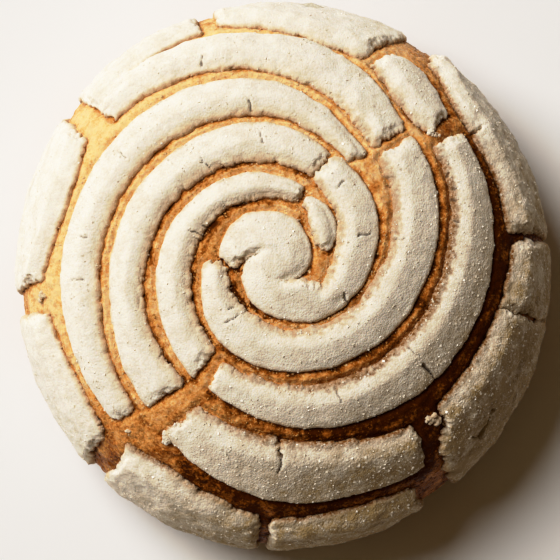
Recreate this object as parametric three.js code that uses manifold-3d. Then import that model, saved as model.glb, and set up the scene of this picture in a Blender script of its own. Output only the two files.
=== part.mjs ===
// A concha: a domed sweet bun under a pale sugar paste that was scored in a spiral. The dough rose under it,
// so the paste has parted into separate strips with the browned crust showing between them.
// Millimetres, +Z up, origin in the middle of the flat base, -Y towards the viewer.
import * as THREE from "three";
import { mergeVertices } from "three/addons/utils/BufferGeometryUtils.js";
import Module from "manifold-3d";

// Driving dimensions of the bun
const BUN_RADIUS = 56; // half the width, at the widest level
const BUN_OVAL = 1.027; // length along Y over width along X
const WIDEST_HEIGHT = 17; // level of the widest point above the base
const CROWN_HEIGHT = 33; // rise of the dome above that level
const CROWN_SQUARENESS = 2.25; // superellipse exponent of the dome: 2 is an ellipse, more is boxier
const BASE_RADIUS = 47; // flat face that the bun rests on
const BUN_SWELL = 0.5; // unevenness of the risen dough, up and down
const BUN_SWELL_LOBES = 3; // bulges round the bun
const BUN_SWELL_TURN = 1; // where they start, in radians

// Driving dimensions of the sugar paste
const PASTE_THICKNESS = 3.2; // a strip at its inner edge, if that weren't pressed down
const OUTER_FALL = 0.75; // part of that height which is lost from the inner edge to the outer one
const FALL_WIDTH = 11; // width over which it is lost, where a strip is wider than that
const PASTE_LIP = 0.5; // upright foot of a strip's edge
const INNER_SLOPE = 3.6; // width of the slope that the scoring pressed into a strip's inner side
const OUTER_SHOULDER = 1.6; // width over which its outer side and its ends round up to the full height
const SHOULDER_ROUNDNESS = 1.3; // 1 is a straight slope, 2 a round one
const PASTE_GAP = 0.3; // clearance between paste and crust
const PASTE_CRUMBLE = 0.2; // roughness of the edges, in and out
const CRACK_TAPER = 0.3; // width of a crack at its far end over the width at its mouth
const SPIRAL_CENTRE = new THREE.Vector2(-1.5, -1.0); // middle of the scoring, beside the crown of the bun
const HEART_RADIUS = 4.3; // round middle of the spiral
const HEART_SLOPE = 1.6; // inner slope of the arms that curl round it

// Facets
const CRUST_SEGMENTS = 60; // around the bun
const CRUST_RINGS = 20; // down the meridian
const STRIP_TURN = 0.17; // turn of one step along a strip, in radians
const STRIP_STEPS = [2.6, 6]; // shortest and longest step along or across a strip, between its shoulders
const STRIP_LEAST = 6; // fewest steps along or across
const SHOULDER_STEPS = 4; // steps on the two shoulders of a strip, two on each
const SHOULDER_FIRST = 0.45; // end of a shoulder's first step, as a share of the shoulder
const SHOULDER_MOST = 0.4; // most of a strip's length or width that one shoulder may take
const HEART_RINGS = [0.25, 0.7, 0.95, 1]; // rings of the round middle, as shares of its radius
const HEART_SEGMENTS = 18; // around the round middle
const CRACK_STEPS = 3; // along a crack
const ARC_DIVISIONS = 3000; // for lengths along the meridian
const MERGE_DISTANCE = 1e-3; // vertices closer than this are one

// The strips of paste. Angles are in degrees about the middle of the spiral, anticlockwise from +X, and
// distances are millimetres along the crust from that middle. An edge is a smooth curve through a few
// values at equal steps: inner and outer run from start to end, start and end run from inner to outer. The
// width of the inner slope is given where it isn't the usual one.
const STRIPS = [
  {
    name: "strip_bean",
    start: [11.5, 12],
    end: [64, 63.5],
    inner: [10, 8.9, 9.6, 10.9, 12.5],
    outer: [11.4, 13.9, 14.9, 15.4, 15],
  },
  {
    name: "strip_left_1",
    start: [68, 66.8],
    end: [234, 234.5],
    inner: [12.8, 13.1, 14.6, 16.5, 18.5, 21],
    outer: [16.2, 18.3, 20.6, 23.3, 25.7, 28.4],
  },
  {
    name: "strip_left_2",
    start: [67.5, 62],
    end: [231.5, 227],
    inner: [18.9, 21, 22.9, 25.7, 28.6, 30.4],
    outer: [25, 28.8, 30.5, 33.2, 35.7, 39.5],
  },
  {
    name: "strip_left_3",
    start: [53, 50.3],
    end: [225, 222.5],
    inner: [25.7, 29.9, 32.5, 35.4, 38.3, 42],
    outer: [29.4, 37, 41.4, 44.3, 47.3, 47.8],
  },
  {
    name: "strip_right_1",
    start: [186.5, 183, 182],
    end: [404.5, 403],
    inner: [10, 11, 13.3, 16.9, 22.4, 30.3],
    outer: [14.6, 18.7, 21.4, 25.6, 32.2, 39.2],
  },
  {
    name: "strip_right_2",
    start: [241, 241.5],
    end: [396, 395.3],
    inner: [22.5, 24.3, 27.6, 31.5, 36.3, 41.9],
    outer: [28.6, 32.3, 37.3, 42.4, 46.7, 49.8],
  },
  {
    name: "strip_front",
    start: [240.7, 238.5, 236],
    end: [311.2, 310, 308],
    inner: [32.8, 34.2, 36.2, 39.5, 44.3],
    outer: [41.9, 45.7, 49.6, 51.6, 54.6],
  },
  {
    name: "strip_back",
    start: [41],
    end: [64.2, 62, 59],
    inner: [42.6, 42.5, 44.6, 48.6],
    outer: [50.1, 52.2, 55, 55.1],
  },
  {
    name: "rim_back",
    start: [67, 61.4, 61.5],
    end: [103.2, 102.8],
    inner: [49.4, 50, 53.2, 56],
    outer: [78, 81.5, 80, 83, 79],
  },
  {
    name: "rim_left_upper",
    start: [146.5, 144.5, 145],
    end: [182, 183.3, 182.3],
    inner: [50, 47.8, 48, 49.7, 52.8],
    outer: [82, 79, 81, 77.5],
  },
  {
    name: "rim_left_lower",
    start: [190.8, 189.8, 190.8],
    end: [222.5, 224, 223.5],
    inner: [52.3, 50.8, 50.5, 52],
    outer: [78, 81.5, 79, 82],
  },
  {
    name: "rim_front_left",
    start: [230.5, 229.3, 229],
    end: [265.6, 265.6, 265.3],
    inner: [50, 48.2, 49.9, 51.6, 54.2],
    outer: [80, 77.5, 81, 82.5, 79],
  },
  {
    name: "rim_front_right",
    start: [269.2, 268.8, 268.8],
    end: [302.5, 303, 303],
    inner: [55.2, 55.4, 55.9, 58.3],
    outer: [81, 83, 79.5, 78],
  },
  {
    name: "rim_right_lower",
    start: [320, 312.5, 311.5, 314.5],
    end: [349.7, 349.7, 349.8],
    inner: [45.7, 46.4, 47.6, 49.1],
    outer: [80, 83, 80, 78],
  },
  {
    name: "rim_right_middle",
    start: [350.3, 350.6, 350.5],
    end: [366, 366.2, 365.8],
    inner: [49.8, 50.8, 52.2],
    outer: [78.5, 81.5, 80],
  },
  {
    name: "rim_right_upper",
    start: [369, 368.3, 368.3],
    end: [412.7, 413.2, 413],
    inner: [51.4, 52, 52.1, 53.5, 59.6],
    outer: [80, 83, 80.5, 82, 77.5],
  },
];

// Strips that the paste still joins: the heart of the spiral with its tail, and the shoulder, back left.
const HEART_ARMS = [
  {
    slope: HEART_SLOPE,
    start: [-68],
    end: [190, 176],
    inner: [1.5, 1.5, 1.5, 1.5, 1.5, 3.4, 7.6],
    outer: [4.2, 5.8, 7.7, 8.9, 10.4, 11.6, 11.4],
  },
  {
    slope: HEART_SLOPE,
    start: [160],
    end: [330, 336],
    inner: [1.5, 1.6, 3.1, 6.3],
    outer: [5.3, 8.1, 11.5, 17],
  },
  {
    start: [318],
    end: [424.8, 419.3],
    inner: [10.2, 11, 12.9, 15.7, 18.3],
    outer: [15.1, 18, 21, 23.8, 25],
  },
];
const SHOULDER_ARMS = [
  {
    start: [49.5, 46.5],
    end: [138],
    inner: [31.6, 36.8, 41.1, 44.1, 46.8],
    outer: [39.4, 47, 51.5, 53.8, 55.5],
  },
  {
    start: [107.8, 108.2, 108.5],
    end: [138.5],
    inner: [55.3, 55.1, 54.2, 51.5],
    outer: [80, 82, 78.5, 81],
  },
];

// Cracks wide enough to see through to the crust, from the mouth at a strip's edge to the far end, each end
// an angle and a distance as above.
const CRACKS = [
  { strip: "strip_right_1", mouth: [290, 23.6], far: [291.5, 18.6], width: 0.7 },
  { strip: "strip_right_1", mouth: [324, 27.2], far: [320, 23.4], width: 0.6 },
  { strip: "strip_right_2", mouth: [313.6, 28.2], far: [314.4, 33], width: 0.8 },
  { strip: "strip_right_2", mouth: [325.4, 41.8], far: [325, 36.5], width: 0.7 },
  { strip: "strip_front", mouth: [270.8, 34.8], far: [272.6, 41.6], width: 1 },
  { strip: "rim_right_upper", mouth: [393.6, 51], far: [394.2, 58], width: 1 },
];

const wasm = await Module();
wasm.setup();

const crustMaterial = new THREE.MeshStandardMaterial({ color: "#c98a45", roughness: 0.6, metalness: 0 });
const pasteMaterial = new THREE.MeshStandardMaterial({ color: "#efe8d8", roughness: 0.9, metalness: 0 });

// Half of the bun's outline, from the crown out to the widest level and in under it to the edge of the base.
class Meridian extends THREE.Curve {
  getPoint(t, target = new THREE.Vector2()) {
    const turn = t * Math.PI;
    if (turn > Math.PI / 2) {
      const tuck = BUN_RADIUS - BASE_RADIUS;
      return target.set(BASE_RADIUS + tuck * Math.sin(turn), WIDEST_HEIGHT * (1 + Math.cos(turn)));
    }
    const power = 2 / CROWN_SQUARENESS;
    const out = Math.sin(turn) ** power;
    const up = Math.cos(turn) ** power;
    return target.set(BUN_RADIUS * out, WIDEST_HEIGHT + CROWN_HEIGHT * up);
  }
}

const meridian = new Meridian();
meridian.arcLengthDivisions = ARC_DIVISIONS;
const meridianLength = meridian.getLength();

// The point that lies `lift` above the crust, `reach` down it from the crown, in the direction `turn`.
function crustPoint(turn, reach, lift) {
  const share = THREE.MathUtils.clamp(reach / meridianLength, 0, 1);
  const point = meridian.getPointAt(share);
  const tangent = meridian.getTangentAt(share);
  const lobes = Math.sin(BUN_SWELL_LOBES * turn + BUN_SWELL_TURN);
  const swell = BUN_SWELL * lobes * Math.sin(Math.PI * share) ** 2;
  const radius = point.x - tangent.y * (lift + swell);
  const height = point.y + tangent.x * (lift + swell);
  return new THREE.Vector3(radius * Math.cos(turn), radius * Math.sin(turn) * BUN_OVAL, height);
}

// The same, by angle and distance about the middle of the spiral.
function spiralPoint(degrees, distance, lift) {
  const turn = THREE.MathUtils.degToRad(degrees);
  const x = SPIRAL_CENTRE.x + distance * Math.cos(turn);
  const y = SPIRAL_CENTRE.y + distance * Math.sin(turn);
  return crustPoint(Math.atan2(y, x), Math.hypot(x, y), lift);
}

// The value at `share` of the way along a smooth curve through values at equal steps.
function along(values, share) {
  if (values.length === 1) return values[0];
  const curve = new THREE.SplineCurve(values.map((value, i) => new THREE.Vector2(i, value)));
  return curve.getPoint(share).y;
}

// Height of the paste at a distance in from its edge, as a share of the rise above the lip.
function roundedRise(distance, shoulder) {
  const short = 1 - Math.min(1, distance / shoulder);
  return 1 - short ** SHOULDER_ROUNDNESS;
}

// The same between two edges, each with its own shoulder.
function riseBetween(distance, length, [near, far]) {
  return Math.min(roundedRise(distance, near), roundedRise(length - distance, far));
}

// The shoulders at the two ends of a length, narrower where the length is short.
function shouldersOf(length, widths) {
  return widths.map((width) => Math.min(width, length * SHOULDER_MOST));
}

// How many steps a length is split into, with those on its two shoulders, finer where the curve is tight.
function stepsOver(length, radius) {
  const step = THREE.MathUtils.clamp(STRIP_TURN * radius, ...STRIP_STEPS);
  return Math.max(STRIP_LEAST, Math.round(length / step) + SHOULDER_STEPS);
}

// Stations along a length, in millimetres: two steps on the shoulder at each end, the rest evenly spaced.
function stations(length, count, [near, far]) {
  const between = count - SHOULDER_STEPS;
  const inside = Array.from({ length: between + 1 }, (_, i) => {
    return near + ((length - near - far) * i) / between;
  });
  return [0, near * SHOULDER_FIRST, ...inside, length - far * SHOULDER_FIRST, length];
}

// A repeatable jitter between -1 and 1 for the crumbly edges, by the usual sine hash.
function jitter(a, b) {
  const wave = Math.sin(a * 12.9898 + b * 78.233) * 43758.5453;
  return 2 * (wave - Math.floor(wave)) - 1;
}

// One strip: a box whose length follows the spiral, whose width runs from the inner edge to the outer one
// and whose top is a ridge, with a long slope down to the inner edge and rounded shoulders elsewhere.
function stripGeometry({ start, end, inner, outer, slope = INNER_SLOPE }) {
  const middle = (inner[0] + outer[0] + inner.at(-1) + outer.at(-1)) / 4;
  const length = THREE.MathUtils.degToRad(end[0] - start[0]) * middle;
  const width = Math.max(outer[0] - inner[0], outer.at(-1) - inner.at(-1));
  const steps = stepsOver(length, middle);
  const bands = stepsOver(width, middle);
  const ends = shouldersOf(length, [OUTER_SHOULDER, OUTER_SHOULDER]);
  const lengthwise = stations(length, steps, ends);
  const geometry = new THREE.BoxGeometry(1, 1, 1, bands, steps, 1);
  const position = geometry.attributes.position;
  for (let i = 0; i < position.count; i++) {
    const row = Math.round((position.getX(i) + 0.5) * bands);
    const column = Math.round((position.getY(i) + 0.5) * steps);
    const onTop = position.getZ(i) > 0;
    const share = lengthwise[column] / length;
    const low = along(inner, share);
    const high = along(outer, share);
    const sides = shouldersOf(high - low, [slope, OUTER_SHOULDER]);
    const widthwise = stations(high - low, bands, sides)[row];
    const across = widthwise / (high - low);
    const degrees = THREE.MathUtils.lerp(along(start, across), along(end, across), share);
    const sideRise = riseBetween(widthwise, high - low, sides);
    const endRise = riseBetween(lengthwise[column], length, ends);
    const fallen = Math.min(1, widthwise / Math.min(high - low, FALL_WIDTH));
    const rise = (PASTE_THICKNESS - PASTE_LIP) * (1 - OUTER_FALL * fallen) * sideRise * endRise;
    const lift = PASTE_GAP + (onTop ? PASTE_LIP + rise : 0);
    const outward = PASTE_CRUMBLE * jitter(degrees, low + row);
    const forward = PASTE_CRUMBLE * jitter(low + row, degrees);
    const distance = low + widthwise + outward;
    const point = spiralPoint(degrees + THREE.MathUtils.radToDeg(forward / distance), distance, lift);
    position.setXYZ(i, point.x, point.y, point.z);
  }
  return geometry;
}

// A crack: a thin wedge from its mouth to its far end, right through the paste.
function crackGeometry({ mouth, far, width }) {
  const geometry = new THREE.BoxGeometry(1, 1, 1, 1, CRACK_STEPS, 1);
  const position = geometry.attributes.position;
  for (let i = 0; i < position.count; i++) {
    const share = position.getY(i) + 0.5;
    const degrees = THREE.MathUtils.lerp(mouth[0], far[0], share);
    const distance = THREE.MathUtils.lerp(mouth[1], far[1], share);
    const open = width * THREE.MathUtils.lerp(1, CRACK_TAPER, share) * position.getX(i);
    const run = new THREE.Vector2(far[1] - mouth[1], THREE.MathUtils.degToRad(far[0] - mouth[0]) * distance);
    run.normalize();
    const turn = THREE.MathUtils.radToDeg((open * run.x) / distance);
    const lift = position.getZ(i) > 0 ? PASTE_GAP + 2 * PASTE_THICKNESS : 0;
    const point = spiralPoint(degrees - turn, distance + open * run.y, lift);
    position.setXYZ(i, point.x, point.y, point.z);
  }
  return geometry;
}

// The round middle of the spiral, a shallow rounded button.
function heartButton() {
  const most = (PASTE_THICKNESS - PASTE_LIP) * (1 - OUTER_FALL / 4);
  const outline = [new THREE.Vector2(0, PASTE_GAP + PASTE_LIP + most)];
  for (const share of HEART_RINGS) {
    const ring = share * HEART_RADIUS;
    const rise = most * roundedRise(HEART_RADIUS - ring, OUTER_SHOULDER);
    outline.push(new THREE.Vector2(ring, PASTE_GAP + PASTE_LIP + rise));
  }
  outline.push(new THREE.Vector2(HEART_RADIUS, PASTE_GAP), new THREE.Vector2(0, PASTE_GAP));
  const geometry = new THREE.LatheGeometry(outline.reverse(), HEART_SEGMENTS);
  const position = geometry.attributes.position;
  for (let i = 0; i < position.count; i++) {
    const distance = Math.hypot(position.getX(i), position.getZ(i));
    const degrees = THREE.MathUtils.radToDeg(Math.atan2(-position.getZ(i), position.getX(i)));
    const point = spiralPoint(degrees, distance, position.getY(i));
    position.setXYZ(i, point.x, point.y, point.z);
  }
  return geometry;
}

// A closed geometry as a solid that can be joined, and a solid as a geometry again.
function solidOf(geometry) {
  const bare = geometry.clone();
  bare.deleteAttribute("normal");
  bare.deleteAttribute("uv");
  const merged = mergeVertices(bare, MERGE_DISTANCE);
  return new wasm.Manifold(
    new wasm.Mesh({
      numProp: 3,
      vertProperties: merged.attributes.position.array,
      triVerts: new Uint32Array(merged.index.array),
    }),
  );
}

function geometryOf(solid) {
  const mesh = solid.getMesh();
  const geometry = new THREE.BufferGeometry();
  geometry.setAttribute("position", new THREE.BufferAttribute(mesh.vertProperties, 3));
  geometry.setIndex(new THREE.BufferAttribute(mesh.triVerts, 1));
  return geometry;
}

function joined(geometries) {
  return geometryOf(geometries.map(solidOf).reduce((whole, next) => whole.add(next)));
}

function cracked(geometry, cracks) {
  const cuts = cracks.map((crack) => solidOf(crackGeometry(crack)));
  return geometryOf(cuts.reduce((whole, cut) => whole.subtract(cut), solidOf(geometry)));
}

// The bun: the meridian turned about the upright axis, drawn out a little along Y and swollen unevenly.
function bunGeometry() {
  const outline = [new THREE.Vector2(0, 0)];
  for (let ring = CRUST_RINGS; ring >= 0; ring--) {
    outline.push(meridian.getPointAt(ring / CRUST_RINGS));
  }
  const geometry = new THREE.LatheGeometry(outline, CRUST_SEGMENTS);
  const position = geometry.attributes.position;
  for (let i = 0; i < position.count; i++) {
    const ring = i % outline.length;
    const turn = Math.atan2(-position.getZ(i), position.getX(i));
    const reach = (meridianLength * (outline.length - 1 - ring)) / CRUST_RINGS;
    const onBase = ring === 0;
    const point = onBase ? new THREE.Vector3(0, 0, 0) : crustPoint(turn, reach, 0);
    position.setXYZ(i, point.x, point.y, point.z);
  }
  return geometry;
}

function meshOf(name, geometry, material) {
  const mesh = new THREE.Mesh(geometry, material);
  mesh.name = name;
  return mesh;
}

const bread = new THREE.Group();
bread.add(meshOf("bun", bunGeometry(), crustMaterial));
for (const strip of STRIPS) {
  const cracks = CRACKS.filter((crack) => crack.strip === strip.name);
  bread.add(meshOf(strip.name, cracked(stripGeometry(strip), cracks), pasteMaterial));
}
const heart = joined([heartButton(), ...HEART_ARMS.map(stripGeometry)]);
bread.add(meshOf("strip_heart", heart, pasteMaterial));
bread.add(meshOf("rim_back_left", joined(SHOULDER_ARMS.map(stripGeometry)), pasteMaterial));

// The origin is the middle of the base of the whole.
const size = new THREE.Box3().setFromObject(bread);
const middle = size.getCenter(new THREE.Vector3());
bread.position.set(-middle.x, -middle.y, -size.min.z);

const concha = new THREE.Group();
concha.add(bread);

export default concha;
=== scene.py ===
"""Looks of a concha: a browned sweet bun under strips of pale sugar paste, with crumbs and sugar grains.

Every piece is grown from the solid that it stands for: the solid is turned into an even, fine mesh, moved by
seeded noise as dough and paste are uneven, and dressed with a material for what it is made of.
Lengths are in millimetres until a piece is done.
"""
import logging
import math
from dataclasses import dataclass, field
from enum import Enum
from typing import NamedTuple

import bmesh
import bpy
import numpy as np
from mathutils import Matrix, Vector
from mathutils.bvhtree import BVHTree


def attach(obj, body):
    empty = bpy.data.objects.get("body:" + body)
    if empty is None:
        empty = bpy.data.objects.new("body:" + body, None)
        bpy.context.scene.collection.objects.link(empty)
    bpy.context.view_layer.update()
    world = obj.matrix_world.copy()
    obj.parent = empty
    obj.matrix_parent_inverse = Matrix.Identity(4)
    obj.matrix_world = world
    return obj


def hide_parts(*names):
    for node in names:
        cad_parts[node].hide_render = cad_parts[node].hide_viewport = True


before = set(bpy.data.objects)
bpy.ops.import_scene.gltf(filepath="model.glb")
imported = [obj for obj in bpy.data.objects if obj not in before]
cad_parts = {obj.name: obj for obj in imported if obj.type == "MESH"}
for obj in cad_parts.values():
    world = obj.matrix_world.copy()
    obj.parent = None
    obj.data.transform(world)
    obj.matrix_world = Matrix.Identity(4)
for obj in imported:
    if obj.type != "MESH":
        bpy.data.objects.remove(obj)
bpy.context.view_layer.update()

MM = 0.001
# How far the search for a neighbouring solid goes, and how upright scattered grains stand.
REACH = 6.0
LEAN = 0.25
FIRST_STRIP_SEED = 100
BODY = "root"
log = logging.getLogger("concha")


class Slot(Enum):
    """Names of the material slots."""

    CRUST = "crust"
    PASTE = "sugar_paste"


def linear(code: str) -> tuple[float, float, float, float]:
    """Turn an sRGB hex colour into linear light.

    Args:
        code: Six hex digits, with or without a leading #.

    Returns:
        Red, green, blue and an alpha of 1.
    """
    digits = code.lstrip("#")
    shares = [int(digits[i:i + 2], 16) / 255 for i in (0, 2, 4)]
    light = [s / 12.92 if s <= 0.04045 else ((s + 0.055) / 1.055) ** 2.4 for s in shares]
    return light[0], light[1], light[2], 1.0


def per_metre(size_mm: float) -> float:
    """Texture scale at which one feature of a pattern is about this many millimetres wide."""
    return 1.0 / (size_mm * MM)


def at_least(least: float, shares: np.ndarray) -> np.ndarray:
    """Lift shares so that they run from a least value to 1."""
    return least + (1.0 - least) * shares


@dataclass(frozen=True)
class Band:
    """A soft edge: nothing at one value, full strength at another, either way round."""

    none: float
    full: float
    strength: float = 1.0

    def at(self, values: np.ndarray) -> np.ndarray:
        """Strength at each value."""
        share = np.clip((values - self.none) / (self.full - self.none), 0.0, 1.0)
        return self.strength * (share * share * (3 - 2 * share))


def add(
    tree: bpy.types.NodeTree,
    kind: str,
    settings: dict[str | int, object] | None = None,
    links: dict[str | int, bpy.types.NodeSocket] | None = None,
) -> bpy.types.Node:
    """Add one node with its settings and links.

    Args:
        tree: The node tree that it goes into.
        kind: Blender's name of the node type, without ShaderNode.
        settings: Properties of the node, values of its inputs, and under "ramp" a list of stops and colours.
        links: Output sockets by the input that each one feeds.

    Returns:
        The new node.
    """
    node = tree.nodes.new("ShaderNode" + kind)
    for key, value in (settings or {}).items():
        if key == "ramp":
            stops = node.color_ramp.elements
            while len(stops) < len(value):
                stops.new(1.0)
            for stop, (place, colour) in zip(stops, value):
                stop.position = place
                stop.color = colour
        elif isinstance(key, str) and hasattr(node, key):
            setattr(node, key, value)
        else:
            node.inputs[key].default_value = value
    for key, socket in (links or {}).items():
        tree.links.new(socket, node.inputs[key])
    return node


class Finish:
    """How a surface looks: a node material named for what the surface is made of."""

    NAME = "finish"

    def material(self) -> bpy.types.Material:
        """Make the material around the finish's own nodes.

        Returns:
            The new material.
        """
        material = bpy.data.materials.new(self.NAME)
        material.use_nodes = True
        tree = material.node_tree
        tree.nodes.clear()
        shader = self.shader(tree, add(tree, "TexCoord").outputs["Object"])
        add(tree, "OutputMaterial", {}, {"Surface": shader.outputs[0]})
        return material

    def shader(self, tree: bpy.types.NodeTree, place: bpy.types.NodeSocket) -> bpy.types.Node:
        """Add the finish's own nodes.

        Args:
            tree: The material's node tree.
            place: The places, in metres, that its patterns are drawn over.

        Returns:
            The shader node.
        """
        raise NotImplementedError


class Cells(NamedTuple):
    """Where points lie among scattered grains: way to the nearest, to its border, and the grain's mark."""

    near: np.ndarray
    border: np.ndarray
    mark: np.ndarray


class Noise:
    """Seeded gradient noise in space, so that every run moves the same points by the same amounts."""

    LATTICE = 256

    def __init__(self, seed: int) -> None:
        """Draw the lattice's order and its gradients from the seed."""
        draw = np.random.default_rng(seed)
        self.order = draw.permutation(self.LATTICE)
        gradients = draw.normal(size=(self.LATTICE, 3))
        self.gradients = gradients / np.linalg.norm(gradients, axis=1, keepdims=True)

    def corner(self, cell: np.ndarray) -> np.ndarray:
        """Find each lattice point's place in the tables.

        Args:
            cell: Whole numbers, three a row.

        Returns:
            One index a row.
        """
        last = self.LATTICE - 1
        first = self.order[cell[:, 0] & last]
        second = self.order[(first + cell[:, 1]) & last]
        return self.order[(second + cell[:, 2]) & last]

    def waves(self, points: np.ndarray, size: float) -> np.ndarray:
        """Smooth noise, about -1 to 1.

        Args:
            points: Places in millimetres, one a row.
            size: Width of one wave in millimetres.

        Returns:
            One value for each point.
        """
        place = points / size
        cell = np.floor(place).astype(np.int64)
        part = place - cell
        ease = part ** 3 * (part * (part * 6 - 15) + 10)
        total = np.zeros(len(points))
        for step in np.ndindex(2, 2, 2):
            offset = np.array(step)
            slope = self.gradients[self.corner(cell + offset)]
            rise = ((part - offset) * slope).sum(axis=1)
            total += rise * np.where(offset == 1, ease, 1 - ease).prod(axis=1)
        return total * 1.6

    def octaves(self, points: np.ndarray, size: float, count: int) -> np.ndarray:
        """Several layers of smooth noise, each half as wide and half as strong as the one before.

        Args:
            points: Places in millimetres.
            size: Width of the first layer's waves.
            count: Number of layers.

        Returns:
            One value for each point.
        """
        total = np.zeros(len(points))
        for layer in range(count):
            total += self.waves(points + 17.0 * layer, size / 2 ** layer) / 2 ** layer
        return total

    def cells(self, points: np.ndarray, size: float) -> Cells:
        """Find each point's place among a scatter of grains.

        Args:
            points: Places in millimetres.
            size: Spacing of the grains in millimetres.

        Returns:
            The ways as shares of the spacing, and a number from -1 to 1 for the nearest grain.
        """
        place = points / size
        cell = np.floor(place).astype(np.int64)
        near = np.full(len(points), np.inf)
        second = near.copy()
        mark = np.zeros(len(points))
        for step in np.ndindex(3, 3, 3):
            beside = cell + np.array(step) - 1
            index = self.corner(beside)
            grain = beside + 0.5 + 0.45 * self.gradients[index]
            way = np.sqrt(((place - grain) ** 2).sum(axis=1))
            closer = way < near
            second = np.where(closer, near, np.minimum(second, way))
            mark = np.where(closer, self.gradients[index, 0], mark)
            near = np.minimum(near, way)
        return Cells(near, second - near, mark)


@dataclass(frozen=True)
class Relief:
    """Uneven height in layers of noise: its height, width and layers, and how far off the noise is read."""

    height: float
    width: float
    layers: int = 1
    shift: float = 0.0

    def over(self, points: np.ndarray, noise: Noise) -> np.ndarray:
        """Height at each point."""
        return self.height * noise.octaves(points + self.shift, self.width, self.layers)


@dataclass(frozen=True)
class BakedCrust(Finish):
    """Egg-washed wheat crust, baked: golden where thin and lit, brown in the creases, partly as painted
    shade, slightly satin.
    """

    NAME = "baked_crust"
    pale: str = "#f8d29c"
    golden: str = "#e3a85f"
    brown: str = "#a66019"
    dark: str = "#4e2004"
    wash: str = "#e0a860"
    blotch_mm: float = 3.5
    streak_mm: float = 1.1
    streak_share: float = 0.5
    grain_mm: float = 0.6
    grain_share: float = 1.2
    bump_mm: float = 0.6
    bump: float = 0.4
    roughness: float = 0.4
    ior: float = 1.46
    glow: tuple[float, float, float] = (1.5, 0.7, 0.3)
    glow_share: float = 0.2

    def shader(self, tree: bpy.types.NodeTree, place: bpy.types.NodeSocket) -> bpy.types.Node:
        """Blotches, streaks along the grooves and fine grain, darker and less glossy where it baked more and
        where painted shade lies.

        Args:
            tree: The material's node tree.
            place: The places that its patterns are drawn over.

        Returns:
            The shader node.
        """
        blotch = add(
            tree, "TexNoise", {"Scale": per_metre(self.blotch_mm), "Detail": 3.0}, {"Vector": place},
        )
        flow = add(tree, "Attribute", {"attribute_name": "flow"})
        streak = add(
            tree, "TexNoise", {"Scale": per_metre(self.streak_mm), "Detail": 4.0, "Roughness": 0.6},
            {"Vector": flow.outputs["Vector"]},
        )
        grain = add(
            tree, "TexNoise", {"Scale": per_metre(self.grain_mm), "Detail": 3.0, "Roughness": 0.7},
            {"Vector": place},
        )
        mottle = add(
            tree, "Math", {"operation": "MULTIPLY_ADD", 1: self.streak_share},
            {0: streak.outputs["Fac"], 2: blotch.outputs["Fac"]},
        )
        both = add(
            tree, "Math", {"operation": "MULTIPLY_ADD", 1: self.grain_share},
            {0: grain.outputs["Fac"], 2: mottle.outputs[0]},
        )
        level = add(tree, "MapRange", {"From Min": 0.38, "From Max": 1.63}, {0: both.outputs[0]})
        # This share holds the browning together with painted shade and the painted shadow along the strips.
        bake = add(tree, "Attribute", {"attribute_name": "bake"})
        browned = add(
            tree, "Math", {"operation": "SUBTRACT", "use_clamp": True},
            {0: level.outputs[0], 1: bake.outputs["Fac"]},
        )
        ramp = [
            (0.0, linear(self.dark)), (0.22, linear(self.brown)),
            (0.5, linear(self.golden)), (0.8, linear(self.pale)),
        ]
        colour = add(tree, "ValToRGB", {"ramp": ramp}, {"Fac": browned.outputs[0]})
        bump = add(
            tree, "Bump", {"Strength": self.bump, "Distance": self.bump_mm * MM},
            {"Height": both.outputs[0]},
        )
        gloss = add(
            tree, "MapRange", {"From Min": 0.3, "From Max": 0.75, "To Min": 0.4, "To Max": 0.02},
            {0: bake.outputs["Fac"]},
        )
        return add(
            tree, "BsdfPrincipled",
            {
                "Roughness": self.roughness, "IOR": self.ior, "Specular Tint": linear(self.wash),
                "Subsurface Weight": self.glow_share, "Subsurface Radius": self.glow, "Subsurface Scale": MM,
            },
            {
                "Base Color": colour.outputs["Color"], "Normal": bump.outputs["Normal"],
                "Specular IOR Level": gloss.outputs[0],
            },
        )


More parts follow.
